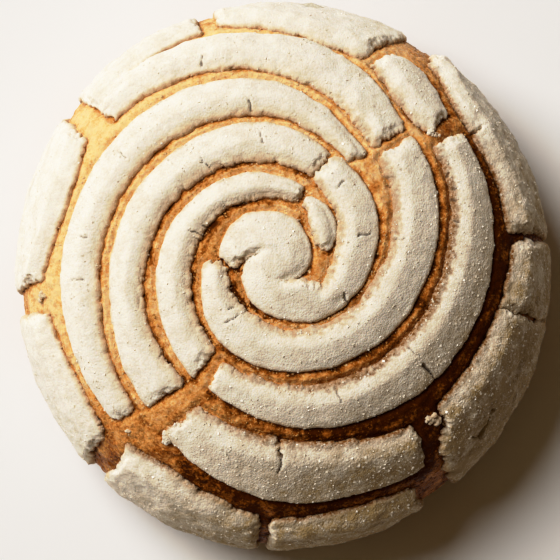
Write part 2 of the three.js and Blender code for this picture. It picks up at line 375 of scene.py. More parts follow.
@dataclass(frozen=True)
class SugarPaste(Finish):
    """Sugar, flour and fat paste, baked dry: matt and sandy, cream-white, toasted tan where it thins out and
    as painted shade.
    """

    NAME = "sugar_paste"
    cream: str = "#f7efdf"
    # Colour of the paste on the side turned from the lamp: partly browned, partly painted shade.
    warm_and_shaded: str = "#b49a6c"
    # Toast colours, which also lie as painted shade on the slopes turned from the lamp.
    tan: str = "#d9be8c"
    toasted: str = "#cba272"
    crack: str = "#4d2d14"
    scorched: str = "#885618"
    patch_mm: float = 3.5
    # The paste's grit is finer than this, and is drawn as coarse as it needs to show.
    grit_mm: float = 0.4
    bump_mm: float = 0.2
    roughness: float = 0.85
    flour: float = 0.3
    gloss: float = 0.35
    ior: float = 1.5
    glow: tuple[float, float, float] = (1.0, 0.8, 0.55)
    glow_share: float = 0.2

    def shader(self, tree: bpy.types.NodeTree, place: bpy.types.NodeSocket) -> bpy.types.Node:
        """Cream with faint warm patches and grit, browner with painted shade on the side turned from the
        lamp, toasted and scorched edges, and dark cracks.

        Args:
            tree: The material's node tree.
            place: The places that its patterns are drawn over.

        Returns:
            The shader node.
        """
        patch = add(tree, "TexNoise", {"Scale": per_metre(self.patch_mm), "Detail": 3.0}, {"Vector": place})
        grit = add(tree, "TexVoronoi", {"Scale": per_metre(self.grit_mm)}, {"Vector": place})
        brown, toast, scorch, crack = (
            add(tree, "Attribute", {"attribute_name": name}).outputs["Fac"]
            for name in ("brown", "toast", "scorch", "crack")
        )
        blotch = add(tree, "MapRange", {"From Min": 0.35, "From Max": 0.65}, {0: patch.outputs["Fac"]})
        strength = add(tree, "Math", {"operation": "ADD", 1: 0.5}, {0: brown})
        patches = add(
            tree, "Math", {"operation": "MULTIPLY_ADD"},
            {0: blotch.outputs[0], 1: strength.outputs[0], 2: brown},
        )
        sandy = add(
            tree, "Math", {"operation": "MULTIPLY_ADD"},
            {0: grit.outputs["Color"], 1: strength.outputs[0], 2: patches.outputs[0]},
        )
        level = add(tree, "MapRange", {"From Min": 0.35, "From Max": 2.5}, {0: sandy.outputs[0]})
        # Cream turns to the browned colour where the paste is browned and where painted shade lies.
        cream = add(
            tree, "Mix", {"data_type": "RGBA", 6: linear(self.cream), 7: linear(self.warm_and_shaded)},
            {0: level.outputs[0]},
        )
        rough = add(
            tree, "Math", {"operation": "MULTIPLY_ADD", 1: 0.5, "use_clamp": True},
            {0: grit.outputs["Color"], 2: toast},
        )
        edge = add(tree, "MapRange", {"From Min": 0.35, "From Max": 1.2}, {0: rough.outputs[0]})
        ramp = [(0.0, linear(self.tan)), (1.0, linear(self.toasted))]
        biscuit = add(tree, "ValToRGB", {"ramp": ramp}, {"Fac": edge.outputs[0]})
        toasted = add(
            tree, "Mix", {"data_type": "RGBA"}, {0: toast, 6: cream.outputs[2], 7: biscuit.outputs["Color"]},
        )
        specks = add(tree, "MapRange", {"To Min": 0.2, "To Max": 1.7}, {0: grit.outputs["Color"]})
        speckled = add(
            tree, "Math", {"operation": "MULTIPLY", "use_clamp": True}, {0: scorch, 1: specks.outputs[0]},
        )
        fringe = add(
            tree, "Mix", {"data_type": "RGBA", 7: linear(self.scorched)},
            {0: speckled.outputs[0], 6: toasted.outputs[2]},
        )
        colour = add(
            tree, "Mix", {"data_type": "RGBA", 7: linear(self.crack)}, {0: crack, 6: fringe.outputs[2]},
        )
        coarse = add(tree, "MapRange", {"To Min": 0.5, "To Max": 1.0}, {0: brown})
        bump = add(
            tree, "Bump", {"invert": True, "Distance": self.bump_mm * MM},
            {"Height": grit.outputs["Distance"], "Strength": coarse.outputs[0]},
        )
        return add(
            tree, "BsdfPrincipled",
            {
                "Roughness": self.roughness, "Diffuse Roughness": self.flour, "IOR": self.ior,
                "Specular IOR Level": self.gloss, "Subsurface Weight": self.glow_share,
                "Subsurface Radius": self.glow, "Subsurface Scale": MM,
            },
            {"Base Color": colour.outputs[2], "Normal": bump.outputs["Normal"]},
        )


@dataclass(frozen=True)
class CoarseSugar(Finish):
    """Crystal sugar: clear cubes that scatter white, with flat glossy faces that catch the light."""

    NAME = "coarse_sugar"
    white: str = "#f4ecdc"
    shade: str = "#e2d6be"
    patch_mm: float = 1.5
    roughness: float = 0.3
    ior: float = 1.54

    def shader(self, tree: bpy.types.NodeTree, place: bpy.types.NodeSocket) -> bpy.types.Node:
        """A white, glossy crystal, a little different from grain to grain.

        Args:
            tree: The material's node tree.
            place: The places that its patterns are drawn over.

        Returns:
            The shader node.
        """
        patch = add(tree, "TexNoise", {"Scale": per_metre(self.patch_mm)}, {"Vector": place})
        ramp = [(0.3, linear(self.shade)), (0.6, linear(self.white))]
        colour = add(tree, "ValToRGB", {"ramp": ramp}, {"Fac": patch.outputs["Fac"]})
        return add(
            tree, "BsdfPrincipled", {"Roughness": self.roughness, "IOR": self.ior},
            {"Base Color": colour.outputs["Color"]},
        )


@dataclass(frozen=True)
class StudioPaper(Finish):
    """Matt white background paper, rolled out flat: it gives the eye nothing but a trace of fibre."""

    NAME = "studio_paper"
    white: str = "#f8f7f5"
    # Paper's fibre is finer than this, and is drawn as coarse as it needs to show.
    fibre_mm: float = 0.6
    bump_mm: float = 0.05
    bump: float = 0.05
    roughness: float = 0.95

    def shader(self, tree: bpy.types.NodeTree, place: bpy.types.NodeSocket) -> bpy.types.Node:
        """White with a trace of fibre.

        Args:
            tree: The material's node tree.
            place: The places that its patterns are drawn over.

        Returns:
            The shader node.
        """
        fibre = add(tree, "TexNoise", {"Scale": per_metre(self.fibre_mm)}, {"Vector": place})
        bump = add(
            tree, "Bump", {"Strength": self.bump, "Distance": self.bump_mm * MM},
            {"Height": fibre.outputs["Fac"]},
        )
        return add(
            tree, "BsdfPrincipled", {"Base Color": linear(self.white), "Roughness": self.roughness},
            {"Normal": bump.outputs["Normal"]},
        )


def mark(piece: bpy.types.Object, name: str, values: np.ndarray) -> None:
    """Keep one value a point for the material to read."""
    attribute = piece.data.attributes.new(name, "FLOAT", "POINT")
    attribute.data.foreach_set("value", values.astype(np.float32))


class Skin:
    """A piece's even fine mesh, in millimetres while it is worked on."""

    def __init__(self, node: str, name: str, voxel: float, subdivisions: int, smoothing: int) -> None:
        """Copy a solid and turn it into an even mesh.

        Args:
            node: The solid that it starts from.
            name: Name of the new piece.
            voxel: Width of one face in millimetres.
            subdivisions: Rounding of the solid's facets before the mesh is made even.
            smoothing: Passes that soften the even mesh.
        """
        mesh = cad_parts[node].data.copy()
        mesh.transform(Matrix.Scale(1 / MM, 4))
        weld(mesh)
        self.piece = bpy.data.objects.new(name, mesh)
        bpy.context.scene.collection.objects.link(self.piece)
        if subdivisions:
            rounding = self.piece.modifiers.new("rounding", "SUBSURF")
            rounding.levels = subdivisions
        even = self.piece.modifiers.new("even", "REMESH")
        even.mode = "VOXEL"
        even.voxel_size = voxel
        soften = self.piece.modifiers.new("soften", "SMOOTH")
        soften.iterations = smoothing
        self.settle()

    def settle(self) -> None:
        """Turn the modifiers into the mesh itself and read its points."""
        graph = bpy.context.evaluated_depsgraph_get()
        settled = bpy.data.meshes.new_from_object(self.piece.evaluated_get(graph))
        before = self.piece.data
        self.piece.modifiers.clear()
        self.piece.data = settled
        bpy.data.meshes.remove(before)
        settled.name = self.piece.name
        self.points = np.empty(len(settled.vertices) * 3)
        settled.vertices.foreach_get("co", self.points)
        self.points = self.points.reshape(-1, 3)

    def thin(self, hidden: np.ndarray, share: float) -> None:
        """Make the mesh coarser where nothing shows.

        Args:
            hidden: Which points may go.
            share: Part of all the faces that is left.
        """
        group = self.piece.vertex_groups.new(name="hidden")
        group.add(np.flatnonzero(hidden).tolist(), 1.0, "REPLACE")
        fewer = self.piece.modifiers.new("fewer", "DECIMATE")
        fewer.vertex_group = group.name
        fewer.ratio = share
        self.settle()
        self.piece.vertex_groups.clear()

    def normals(self) -> np.ndarray:
        """Find the outward directions at the points as they are now.

        Returns:
            One direction a row.
        """
        self.write()
        found = np.empty(self.points.size)
        self.piece.data.vertex_normals.foreach_get("vector", found)
        return found.reshape(-1, 3)

    def write(self) -> None:
        """Put the points back into the mesh."""
        self.piece.data.vertices.foreach_set("co", self.points.ravel())
        self.piece.data.update()

    def mark(self, name: str, values: np.ndarray) -> None:
        """Keep one share a point, from 0 to 1, for the material to read."""
        mark(self.piece, name, np.clip(values, 0.0, 1.0))

    def mark_flow(self, places: np.ndarray) -> None:
        """Keep one place a point, in metres, for streaks that run along the grooves."""
        attribute = self.piece.data.attributes.new("flow", "FLOAT_VECTOR", "POINT")
        attribute.data.foreach_set("vector", (places * MM).astype(np.float32).ravel())

    def done(self, material: bpy.types.Material) -> bpy.types.Object:
        """Write the points in metres and dress the mesh.

        Args:
            material: The finish's material.

        Returns:
            The dressed piece.
        """
        self.write()
        self.piece.data.transform(Matrix.Scale(MM, 4))
        self.piece.data.materials.clear()
        self.piece.data.materials.append(material)
        self.piece.data.shade_smooth()
        return self.piece


def weld(mesh: bpy.types.Mesh) -> None:
    """Join the vertices that a solid's faces share.

    Args:
        mesh: A copy of the solid's mesh, in millimetres.
    """
    work = bmesh.new()
    work.from_mesh(mesh)
    bmesh.ops.remove_doubles(work, verts=work.verts, dist=0.001)
    work.to_mesh(mesh)
    work.free()


def search_tree(nodes: list[str]) -> BVHTree:
    """Make a search tree over the solids of some nodes.

    Args:
        nodes: Names of the nodes.

    Returns:
        The tree, in millimetres.
    """
    points: list[Vector] = []
    faces: list[list[int]] = []
    for node in nodes:
        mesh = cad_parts[node].data
        first = len(points)
        points += [vertex.co / MM for vertex in mesh.vertices]
        faces += [[first + i for i in face.vertices] for face in mesh.polygons]
    return BVHTree.FromPolygons(points, faces)


class Nearest(NamedTuple):
    """The nearest spot of a solid to each of some points."""

    gap: np.ndarray
    outward: np.ndarray
    place: np.ndarray


def nearest(tree: BVHTree, points: np.ndarray, reach: float = REACH) -> Nearest:
    """Find the nearest spot of a solid to each point.

    Args:
        tree: Search tree over the solid.
        points: Places in millimetres.
        reach: Distance that stands for everything further away.

    Returns:
        The distances, the solid's outward directions there, and the spots.
    """
    gap = np.full(len(points), reach)
    outward = np.tile([0.0, 0.0, 1.0], (len(points), 1))
    place = points.copy()
    for i, point in enumerate(points):
        spot, normal, _, distance = tree.find_nearest(Vector(point), reach)
        if spot is not None:
            gap[i] = distance
            outward[i] = normal
            place[i] = spot
    return Nearest(gap, outward, place)


@dataclass(frozen=True)
class Crack:
    """A hairline crack in the paste, between two places seen from above."""

    start: tuple[float, float]
    end: tuple[float, float]
    width: float = 0.17
    depth: float = 0.5


@dataclass(frozen=True)
class Scoring:
    """The spiral that the paste was scored in: its middle in plan and the cracks that opened beside it."""

    middle: tuple[float, float] = (-1.5, -1.0)
    cracks: tuple[Crack, ...] = (
        Crack((231.7, 16.1), (235.7, 12.9)),
        Crack((225.8, 13.9), (228.7, 12.4), 0.2, 0.6),
        Crack((295.4, 28.4), (295.4, 31.8)),
        Crack((327.3, 32.4), (327.6, 35.4)),
        Crack((329.3, 17.4), (334.4, 15.3), 0.3, 1.1),
        Crack((16.9, 17.9), (17.4, 20.6), 0.2, 0.6),
        Crack((49.8, 22.0), (50.8, 19.4), 0.2, 0.6),
        Crack((10.8, 25.0), (11.4, 27.6)),
        Crack((159.5, 16.6), (160.2, 19.6), 0.2, 0.6),
        Crack((96.3, 25.0), (97.0, 28.0), 0.2, 0.6),
        Crack((125.8, 25.4), (124.3, 27.8)),
        Crack((124.3, 22.6), (124.8, 24.8)),
        Crack((98.8, 32.2), (99.4, 34.8), 0.3, 1.1),
        Crack((144.3, 38.2), (143.8, 41.0), 0.2, 0.5),
        Crack((171.3, 39.6), (171.9, 42.4), 0.2, 0.6),
        Crack((184.1, 39.8), (183.5, 42.6), 0.2, 0.6),
        Crack((109.9, 45.0), (109.4, 47.6), 0.2, 0.6),
        Crack((327.6, 54.3), (324.2, 54.7), 0.22, 1.6),
        Crack((321.2, 55.0), (324.4, 54.7), 0.27, 1.8),
        Crack((321.4, 55.0), (319.6, 53.8), 0.22, 1.3),
        Crack((325.6, 36.8), (324.6, 41.0), 0.4, 1.2),
        Crack((271.2, 38.4), (271.7, 41.0), 0.34, 1.1),
        Crack((271.7, 40.8), (270.4, 43.2), 0.3, 0.8),
        Crack((27.8, 40.2), (28.2, 41.0), 0.35, 0.7),
        Crack((23.4, 40.2), (23.2, 41.2), 0.3, 0.7),
        Crack((20.6, 39.2), (20.0, 39.8), 0.3, 0.6),
        Crack((13.7, 38.2), (13.4, 39.0), 0.3, 0.7),
    )
    taper: float = 0.6
    wander: tuple[Relief, ...] = (Relief(0.35, 1.3), Relief(0.35, 1.3, 1, 40.0))
    small_circle: float = 13.0

    def plan(self, angle: float, distance: float) -> np.ndarray:
        """The place in plan at an angle and distance from the middle."""
        turn = math.radians(angle)
        return np.array(self.middle) + distance * np.array([math.cos(turn), math.sin(turn)])

    def away(self, points: np.ndarray) -> np.ndarray:
        """Directions in plan that lead away from the middle."""
        run = points[:, :2] - np.array(self.middle)
        return run / np.maximum(np.linalg.norm(run, axis=1, keepdims=True), 1e-6)

    def flow(self, points: np.ndarray) -> np.ndarray:
        """Places drawn in about the middle, so that what is drawn over them is long along the grooves.

        Args:
            points: Places in millimetres.

        Returns:
            The way round, on a small circle, and the way out and down.
        """
        out = np.linalg.norm(points[:, :2] - np.array(self.middle), axis=1)
        return np.column_stack([self.away(points) * self.small_circle, out - points[:, 2]])

    def opening(self, points: np.ndarray, noise: Noise) -> tuple[np.ndarray, np.ndarray]:
        """How far each point lies in a crack.

        Args:
            points: Places in millimetres.
            noise: Noise that makes the cracks ragged.

        Returns:
            A share of the crack's own depth, and that depth in millimetres.
        """
        ragged = points[:, :2].copy()
        for axis, layer in enumerate(self.wander):
            ragged[:, axis] += layer.over(points, noise)
        share = np.zeros(len(points))
        depth = np.zeros(len(points))
        for crack in self.cracks:
            start = self.plan(*crack.start)
            run = self.plan(*crack.end) - start
            along = np.clip((ragged - start) @ run / (run @ run), 0.0, 1.0)
            gap = np.linalg.norm(ragged - start - along[:, None] * run, axis=1)
            width = crack.width * (1.0 - self.taper * along)
            inside = np.exp(-(gap / width) ** 2)
            share = np.maximum(share, inside)
            depth = np.maximum(depth, inside * crack.depth)
        return share, depth


@dataclass(frozen=True)
class OvenAndShade:
    """How the bread browned, with painted shade: most at one side's rim, over a wide lobe, least on the other
    side.

    The side that browned most is the one turned away from the lamp, so its darkening is partly real browning
    and partly painted shade. The crust starts to brown nearer the middle than the paste does, by shares of
    the reach. The inner grooves of the left side are darkened evenly, partly browning and partly painted
    shade.
    """

    # This side lies opposite the lamp: its darkening is partly real browning and partly painted shade.
    hot_and_shaded_side_deg: float = 316.0
    lobe: float = 0.66
    reach: float = 58.0
    crust_start: float = 0.1
    paste_start: float = 0.4
    left: Band = Band(0.0, 0.6)
    inner: Band = Band(37.0, 27.0)

    def along(self, points: np.ndarray) -> np.ndarray:
        """How far points or directions lead towards the hot side, in plan."""
        turn = math.radians(self.hot_and_shaded_side_deg)
        return points[:, 0] * math.cos(turn) + points[:, 1] * math.sin(turn)

    def browning_and_shade(self, points: np.ndarray, start: float) -> np.ndarray:
        """Find how far the points are browned and darkened by painted shade, most on the side turned from the
        lamp.

        Args:
            points: Places in millimetres.
            start: Share of the reach from which they brown.

        Returns:
            From 0 on the pale, lit side to 1 at the browned, shaded rim.
        """
        out = np.hypot(points[:, 0], points[:, 1])
        off = np.arccos(np.clip(self.along(points) / np.maximum(out, 1e-6), -1.0, 1.0))
        return Band(start, 1.0).at(out * np.cos(self.lobe * off) / self.reach)

    def inmost(self, points: np.ndarray) -> np.ndarray:
        """1 in the inner grooves of the left side, fading to 0 outwards and to the right: there the crust is
        darkened, partly browning and partly painted shade.
        """
        out = np.hypot(points[:, 0], points[:, 1])
        return self.left.at(-points[:, 0] / np.maximum(out, 1e-6)) * self.inner.at(out)


@dataclass(frozen=True)
class CrustBakeAndShade:
    """How dark the crust is: painted shadow by the strips, browner below, and browning with painted shade."""

    scoring: Scoring
    oven_and_shade: OvenAndShade
    # The middle and the left inner grooves are darkened, partly browning and partly painted shade in these
    # deep grooves.
    middle: Band = Band(30.0, 14.0)
    wander: Relief = Relief(0.4, 1.4, 2, 30.0)
    # Painted shadow: the crust along each strip's foot is darkened on the groove side towards the lamp, with
    # some browning.
    shadow_seam: float = 0.55
    shadow_seam_width: float = 0.95
    wider_in_middle: float = 0.9
    wider_inmost: float = 0.3
    shadow_seam_inmost: float = 0.07
    shadow_seam_least: float = 0.4
    below: tuple[Band, ...] = (Band(12.0, 0.0, 0.3), Band(35.0, 22.0, 0.3))
    # Browning with painted shade on the side turned from the lamp.
    hot_shaded_gain: float = 1.3
    hot_shaded_most: float = 0.78
    hot_shaded_spared: Band = Band(36.0, 24.0, 0.6)
    in_middle: float = 0.14
    at_inmost: float = 0.13
    mottle: Relief = Relief(0.1, 3.0)

    def over(self, points: np.ndarray, paste: BVHTree, broken: np.ndarray, noise: Noise) -> np.ndarray:
        """Work out the browning and the painted shade.

        Args:
            points: Places on the bread in millimetres.
            paste: Search tree over the strips of paste.
            broken: How whole the painted shadow line along the strips is, from 0 to 1.
            noise: The bread's noise.

        Returns:
            From 0 for pale to 1 for dark.
        """
        middle = self.middle.at(np.hypot(points[:, 0], points[:, 1]))
        inmost = self.oven_and_shade.inmost(points)
        shifted = points.copy()
        shifted[:, :2] += self.scoring.away(points) * self.wander.over(points, noise)[:, None]
        shade = nearest(paste, shifted)
        # The groove side whose strip lies towards the lamp, in that strip's shadow, takes the painted shadow.
        shaded = self.oven_and_shade.along(shade.place - shifted) < 0
        width = self.shadow_seam_width + self.wider_in_middle * middle + self.wider_inmost * inmost
        shadow_seam = self.shadow_seam * np.exp(-(shade.gap / width) ** 2) + self.shadow_seam_inmost * inmost
        shadow_seam = shadow_seam * shaded * at_least(self.shadow_seam_least, broken)
        below = sum(band.at(points[:, 2]) for band in self.below)
        # Browning with painted shade on the side turned from the lamp.
        hot_and_shaded = self.hot_shaded_gain * self.oven_and_shade.browning_and_shade(points, self.oven_and_shade.crust_start)
        side = np.minimum(hot_and_shaded, self.hot_shaded_most) * (1.0 - self.hot_shaded_spared.at(points[:, 2]))
        # Darker in the middle and the left inner grooves: partly browning, partly painted shade.
        inside = self.in_middle * middle + self.at_inmost * inmost
        return shadow_seam + below + side + inside + self.mottle.over(points, noise)


@dataclass
class Bun:
    """The bread: its crust swells up in the grooves, is finely wrinkled and sinks in along the strips."""

    scoring: Scoring
    oven_and_shade: OvenAndShade
    node: str = "bun"
    voxel: float = 0.34
    rounding: int = 2
    softness: int = 12
    covered_gap: float = 1.5
    covered_turn: float = 0.9
    base: float = 0.1
    covered_share: float = 0.4
    low_side: float = 16.0
    side_share: float = 0.71
    under_paste: float = 0.3
    bulge: Band = Band(0.1, 1.6, 0.8)
    bulge_height: Band = Band(24.0, 40.0)
    trench: float = 0.15
    trench_width: float = 0.45
    breaks: Relief = Relief(1.0, 2.6, 1, 50.0)
    whole: Band = Band(-0.5, 0.3)
    wrinkles: tuple[Relief, ...] = (Relief(0.16, 3.4, 2), Relief(0.24, 1.3, 2, 90.0))
    off_base: Band = Band(0.2, 5.0)
    crust: BakedCrust = field(default_factory=BakedCrust)
    noise: Noise = field(default_factory=lambda: Noise(11))

    def build(self, paste: BVHTree) -> bpy.types.Object:
        """Grow the bread and its crust.

        Args:
            paste: Search tree over the strips of paste.

        Returns:
            The dressed piece.
        """
        skin = Skin(self.node, "bread_crust", self.voxel, self.rounding, self.softness)
        self.thin(skin, paste)
        points = skin.points
        outward = skin.normals()
        strip = nearest(paste, points)
        sheltered = self.oven_and_shade.along(strip.place - points) < 0
        broken = self.whole.at(self.breaks.over(points, self.noise))
        foot = np.exp(-(strip.gap / self.trench_width) ** 2) * sheltered * broken
        wrinkles = sum(layer.over(points, self.noise) for layer in self.wrinkles)
        swell = self.bulge.at(strip.gap) * self.bulge_height.at(points[:, 2])
        rise = self.under_paste + swell - self.trench * foot + wrinkles
        skin.points = points + outward * (rise * self.off_base.at(points[:, 2]))[:, None]
        skin.points[:, 2] = np.maximum(skin.points[:, 2], 0.0)
        # Browning and painted shade, including the painted shadow along the strips.
        skin.mark("bake", CrustBakeAndShade(self.scoring, self.oven_and_shade).over(points, paste, broken, self.noise))
        skin.mark_flow(self.scoring.flow(points))
        return skin.done(self.crust.material())

    def thin(self, skin: Skin, paste: BVHTree) -> None:
        """Make the mesh coarser under the paste and the base, and a little down the low side.

        Args:
            skin: The bread's even mesh.
            paste: Search tree over the strips of paste.
        """
        above = nearest(paste, skin.points)
        straight_up = ((above.place - skin.points) * skin.normals()).sum(axis=1)
        covered = (straight_up > self.covered_turn * above.gap) & (above.gap < self.covered_gap)
        skin.thin(covered | (skin.points[:, 2] < self.base), self.covered_share)
        skin.thin(skin.points[:, 2] < self.low_side, self.side_share)


@dataclass(frozen=True)
class PasteTexture:
    """How uneven a strip's paste is: its lumps, bites and crags, and the passes that soften it."""

    lumps: float
    bites: float
    crags: float
    softness: int


class Texture(Enum):
    """The paste's textures: smooth where it was scored, rough at the rim, craggy where the rim broke up."""

    SCORED = PasteTexture(0.18, 0.32, 0.1, 24)
    RIM = PasteTexture(0.36, 0.45, 0.7, 12)
    CRAGGY = PasteTexture(0.36, 0.45, 1.0, 12)

    @classmethod
    def of(cls, node: str) -> "Texture":
        """Choose a strip's texture.

        Args:
            node: Name of the strip's solid.

        Returns:
            The texture.
        """
        if node == "rim_right_upper":
            return cls.CRAGGY
        return cls.RIM if node.startswith("rim") else cls.SCORED


class Lie(NamedTuple):
    """How a strip's points lie: height over the crust, and shares of inner side, ends, shade and browning
    with painted shade.
    """

    height: np.ndarray
    inner: np.ndarray
    ends: np.ndarray
    shade: np.ndarray
    brown: np.ndarray


class Grown(NamedTuple):
    """A strip's piece, and the spots along the foot of its inner side with their upward directions."""

    piece: bpy.types.Object
    feet: np.ndarray


@dataclass
class PasteStrip:
    """One strip of sugar paste: lumpy and sandy on top, crumbling at its inner foot, sunk into the crust."""

    node: str
    finish: bpy.types.Material
    scoring: Scoring
    oven_and_shade: OvenAndShade
    noise: Noise
    texture: PasteTexture
    voxel: float = 0.3
    hidden_turn: float = -0.2
    hidden_gap: float = 0.55
    kept_share: float = 0.52
    inner_turn: Band = Band(0.3, -0.3)
    end_turn: Band = Band(0.3, 0.75)
    # Faces turned from the lamp take painted shade: browner paste and tan slopes.
    shade_turn: Band = Band(-0.4, 0.4)
    least_brown: float = 0.25
    sink: Band = Band(0.75, 0.35, 0.45)
    spread: Band = Band(1.9, 0.9, 0.35)
    lumps: Relief = Relief(1.0, 8.0, 3)
    sand: tuple[Relief, ...] = (Relief(0.06, 0.8), Relief(0.09, 2.2, 2, 14.0))
    pale_sand: float = 0.7
    brown_sand: float = 0.6
    bites: tuple[Relief, ...] = (Relief(1.0, 3.4, 1, 33.0), Relief(0.6, 1.4, 2, 70.0))
    bitten_foot: Band = Band(1.7, 0.7)
    least_bitten: float = 0.35
    end_bites: float = 0.5
    end_crumbs: Relief = Relief(0.35, 0.9, 2, 120.0)
    plate_size: float = 1.3
    plate_shift: float = 9.0
    plate_rise: float = 0.15
    plate_steps: float = 0.3
    plate_gaps: Band = Band(0.14, 0.02, 0.25)
    plate_zone: Band = Band(1.9, 1.3)
    patches: Relief = Relief(1.0, 5.0, 1, 60.0)
    patchy: Band = Band(-0.5, 0.3)
    least_patchy: float = 0.3
    crags: Relief = Relief(1.0, 4.5, 3, 3.0)
    crag_level: float = 0.5
    least_inner_crags: float = 0.6
    least_hot_crags: float = 0.35
    crack_zone: Band = Band(0.6, 1.4)
    pit_spacing: float = 5.0
    pit: Band = Band(0.07, 0.03, 0.3)
    pit_zone: Band = Band(1.0, 1.8)
    pit_rarity: float = 0.35
    ragged: Relief = Relief(0.35, 1.6, 2, 5.0)
    # Painted shade: tan toast on the inner slopes turned from the lamp.
    toasted_shaded_slope: tuple[Band, ...] = (Band(2.8, 1.6, 0.3), Band(2.0, 1.2, 0.3), Band(1.4, 0.9, 0.2))
    toasted_foot: Band = Band(1.4, 0.7, 0.55)
    specks: Relief = Relief(0.6, 0.8, 1, 8.0)
    fringe: Band = Band(2.6, 0.7, 0.8)
    scorch: Band = Band(2.2, 0.8, 0.9)
    scorch_gain: float = 2.0
    crack_dark: Band = Band(0.25, 0.8, 0.7)
    pit_dark: Band = Band(0.05, 0.25, 0.4)
    foot_height: tuple[float, float] = (0.45, 0.9)
    foot_inner: float = 0.6

    def build(self, bun: BVHTree) -> Grown:
        """Grow the strip.

        Args:
            bun: Search tree over the bread.

        Returns:
            The dressed piece and its inner foot.
        """
        skin = Skin(self.node, "paste_" + self.node, self.voxel, 0, self.texture.softness)
        below = nearest(bun, skin.points)
        underside = (skin.normals() * below.outward).sum(axis=1) < self.hidden_turn
        skin.thin(underside & (below.gap < self.hidden_gap), self.kept_share)
        points = skin.points
        outward = skin.normals()
        crust = nearest(bun, points)
        lie = self.lie(points, outward, crust.gap)
        holes = self.noise.cells(points, self.pit_spacing)
        pits = self.pit.at(holes.near) * self.pit_zone.at(lie.height) * (holes.mark > self.pit_rarity)
        share, depth = self.scoring.opening(points, self.noise)
        move = self.relief(points, lie) - pits - depth * self.crack_zone.at(lie.height)
        sunk = crust.outward * self.sink.at(lie.height)[:, None]
        skin.points = points + outward * move[:, None] - sunk
        self.toast(skin, points, lie)
        skin.mark("crack", self.crack_dark.at(share) + self.pit_dark.at(pits))
        upward = (outward * crust.outward).sum(axis=1)
        lowest, highest = self.foot_height
        foot = (lie.height > lowest) & (lie.height < highest)
        foot = foot & (lie.inner > self.foot_inner) & (upward > 0.0)
        return Grown(skin.done(self.finish), np.hstack([points[foot], crust.outward[foot]]))

    def lie(self, points: np.ndarray, outward: np.ndarray, height: np.ndarray) -> Lie:
        """Work out how the points lie.

        Args:
            points: Places in millimetres.
            outward: The strip's outward directions there.
            height: Height over the crust.

        Returns:
            The height, and the shares from 0 to 1.
        """
        away = self.scoring.away(points)
        inner = self.inner_turn.at((outward[:, :2] * away).sum(axis=1))
        ends = self.end_turn.at(np.abs(outward[:, 0] * away[:, 1] - outward[:, 1] * away[:, 0]))
        shade = self.shade_turn.at(self.oven_and_shade.along(outward))
        # Paste turned from the lamp is browner: partly real browning, partly painted shade.
        brown = self.oven_and_shade.browning_and_shade(points, self.oven_and_shade.paste_start) * at_least(self.least_brown, shade)
        return Lie(height, inner, ends, shade, brown)

    def relief(self, points: np.ndarray, lie: Lie) -> np.ndarray:
        """Work out the lumps, sand, bitten foot and ends, flaking plates, crags and spread foot.

        Args:
            points: Places in millimetres.
            lie: How they lie.

        Returns:
            How far each point moves outwards.
        """
        noise = self.noise
        lumps = self.texture.lumps * self.lumps.over(points, noise)
        sand = sum(layer.over(points, noise) for layer in self.sand)
        sand = sand * (self.pale_sand + self.brown_sand * lie.brown)
        bites = sum(layer.over(points, noise) for layer in self.bites)
        bitten = self.bitten_foot.at(lie.height) * at_least(self.least_bitten, lie.inner)
        crumbly = self.end_bites * bites + self.end_crumbs.over(points, noise)
        crumbs = self.texture.bites * bites * bitten + crumbly * lie.ends
        plates = noise.cells(self.scoring.flow(points) + self.plate_shift, self.plate_size)
        patchy = at_least(self.least_patchy, self.patchy.at(self.patches.over(points, noise)))
        flaky = lie.inner * self.plate_zone.at(lie.height) * patchy
        steps = self.plate_rise + self.plate_steps * plates.mark
        flakes = flaky * (steps - self.plate_gaps.at(plates.border))
        crags = self.texture.crags * (self.crag_level - np.abs(self.crags.over(points, noise)))
        hot_and_shaded = self.oven_and_shade.browning_and_shade(points, self.oven_and_shade.crust_start)
        crags = crags * at_least(self.least_inner_crags, lie.inner) * at_least(self.least_hot_crags, hot_and_shaded)
        return lumps + sand + crumbs + flakes + crags + self.spread.at(lie.height)

    def toast(self, skin: Skin, points: np.ndarray, lie: Lie) -> None:
        """Mark where the paste is toasted, browned and scorched, and where painted shade lies on it.

        Args:
            skin: The strip's mesh.
            points: Its points before they were moved.
            lie: How they lie.
        """
        ragged = lie.height + self.ragged.over(points, self.noise)
        # Painted shade on the slopes turned from the lamp, laid on as tan toast.
        slope = lie.shade * sum(band.at(ragged) for band in self.toasted_shaded_slope)
        foot = self.toasted_foot.at(ragged)
        lit = lie.inner * (1.0 - lie.shade)
        speckled = ragged + self.specks.over(points, self.noise)
        toasted = lie.inner * np.maximum(slope, foot) + (1 - lie.inner) * foot
        hot_and_shaded = np.minimum(self.scorch_gain * self.oven_and_shade.browning_and_shade(points, self.oven_and_shade.crust_start), 1.0)
        skin.mark("toast", np.maximum(lit * self.fringe.at(speckled), toasted))
        # The brown mark is browning together with painted shade.
        skin.mark("brown", lie.brown)
        skin.mark("scorch", hot_and_shaded * lit * self.scorch.at(speckled))


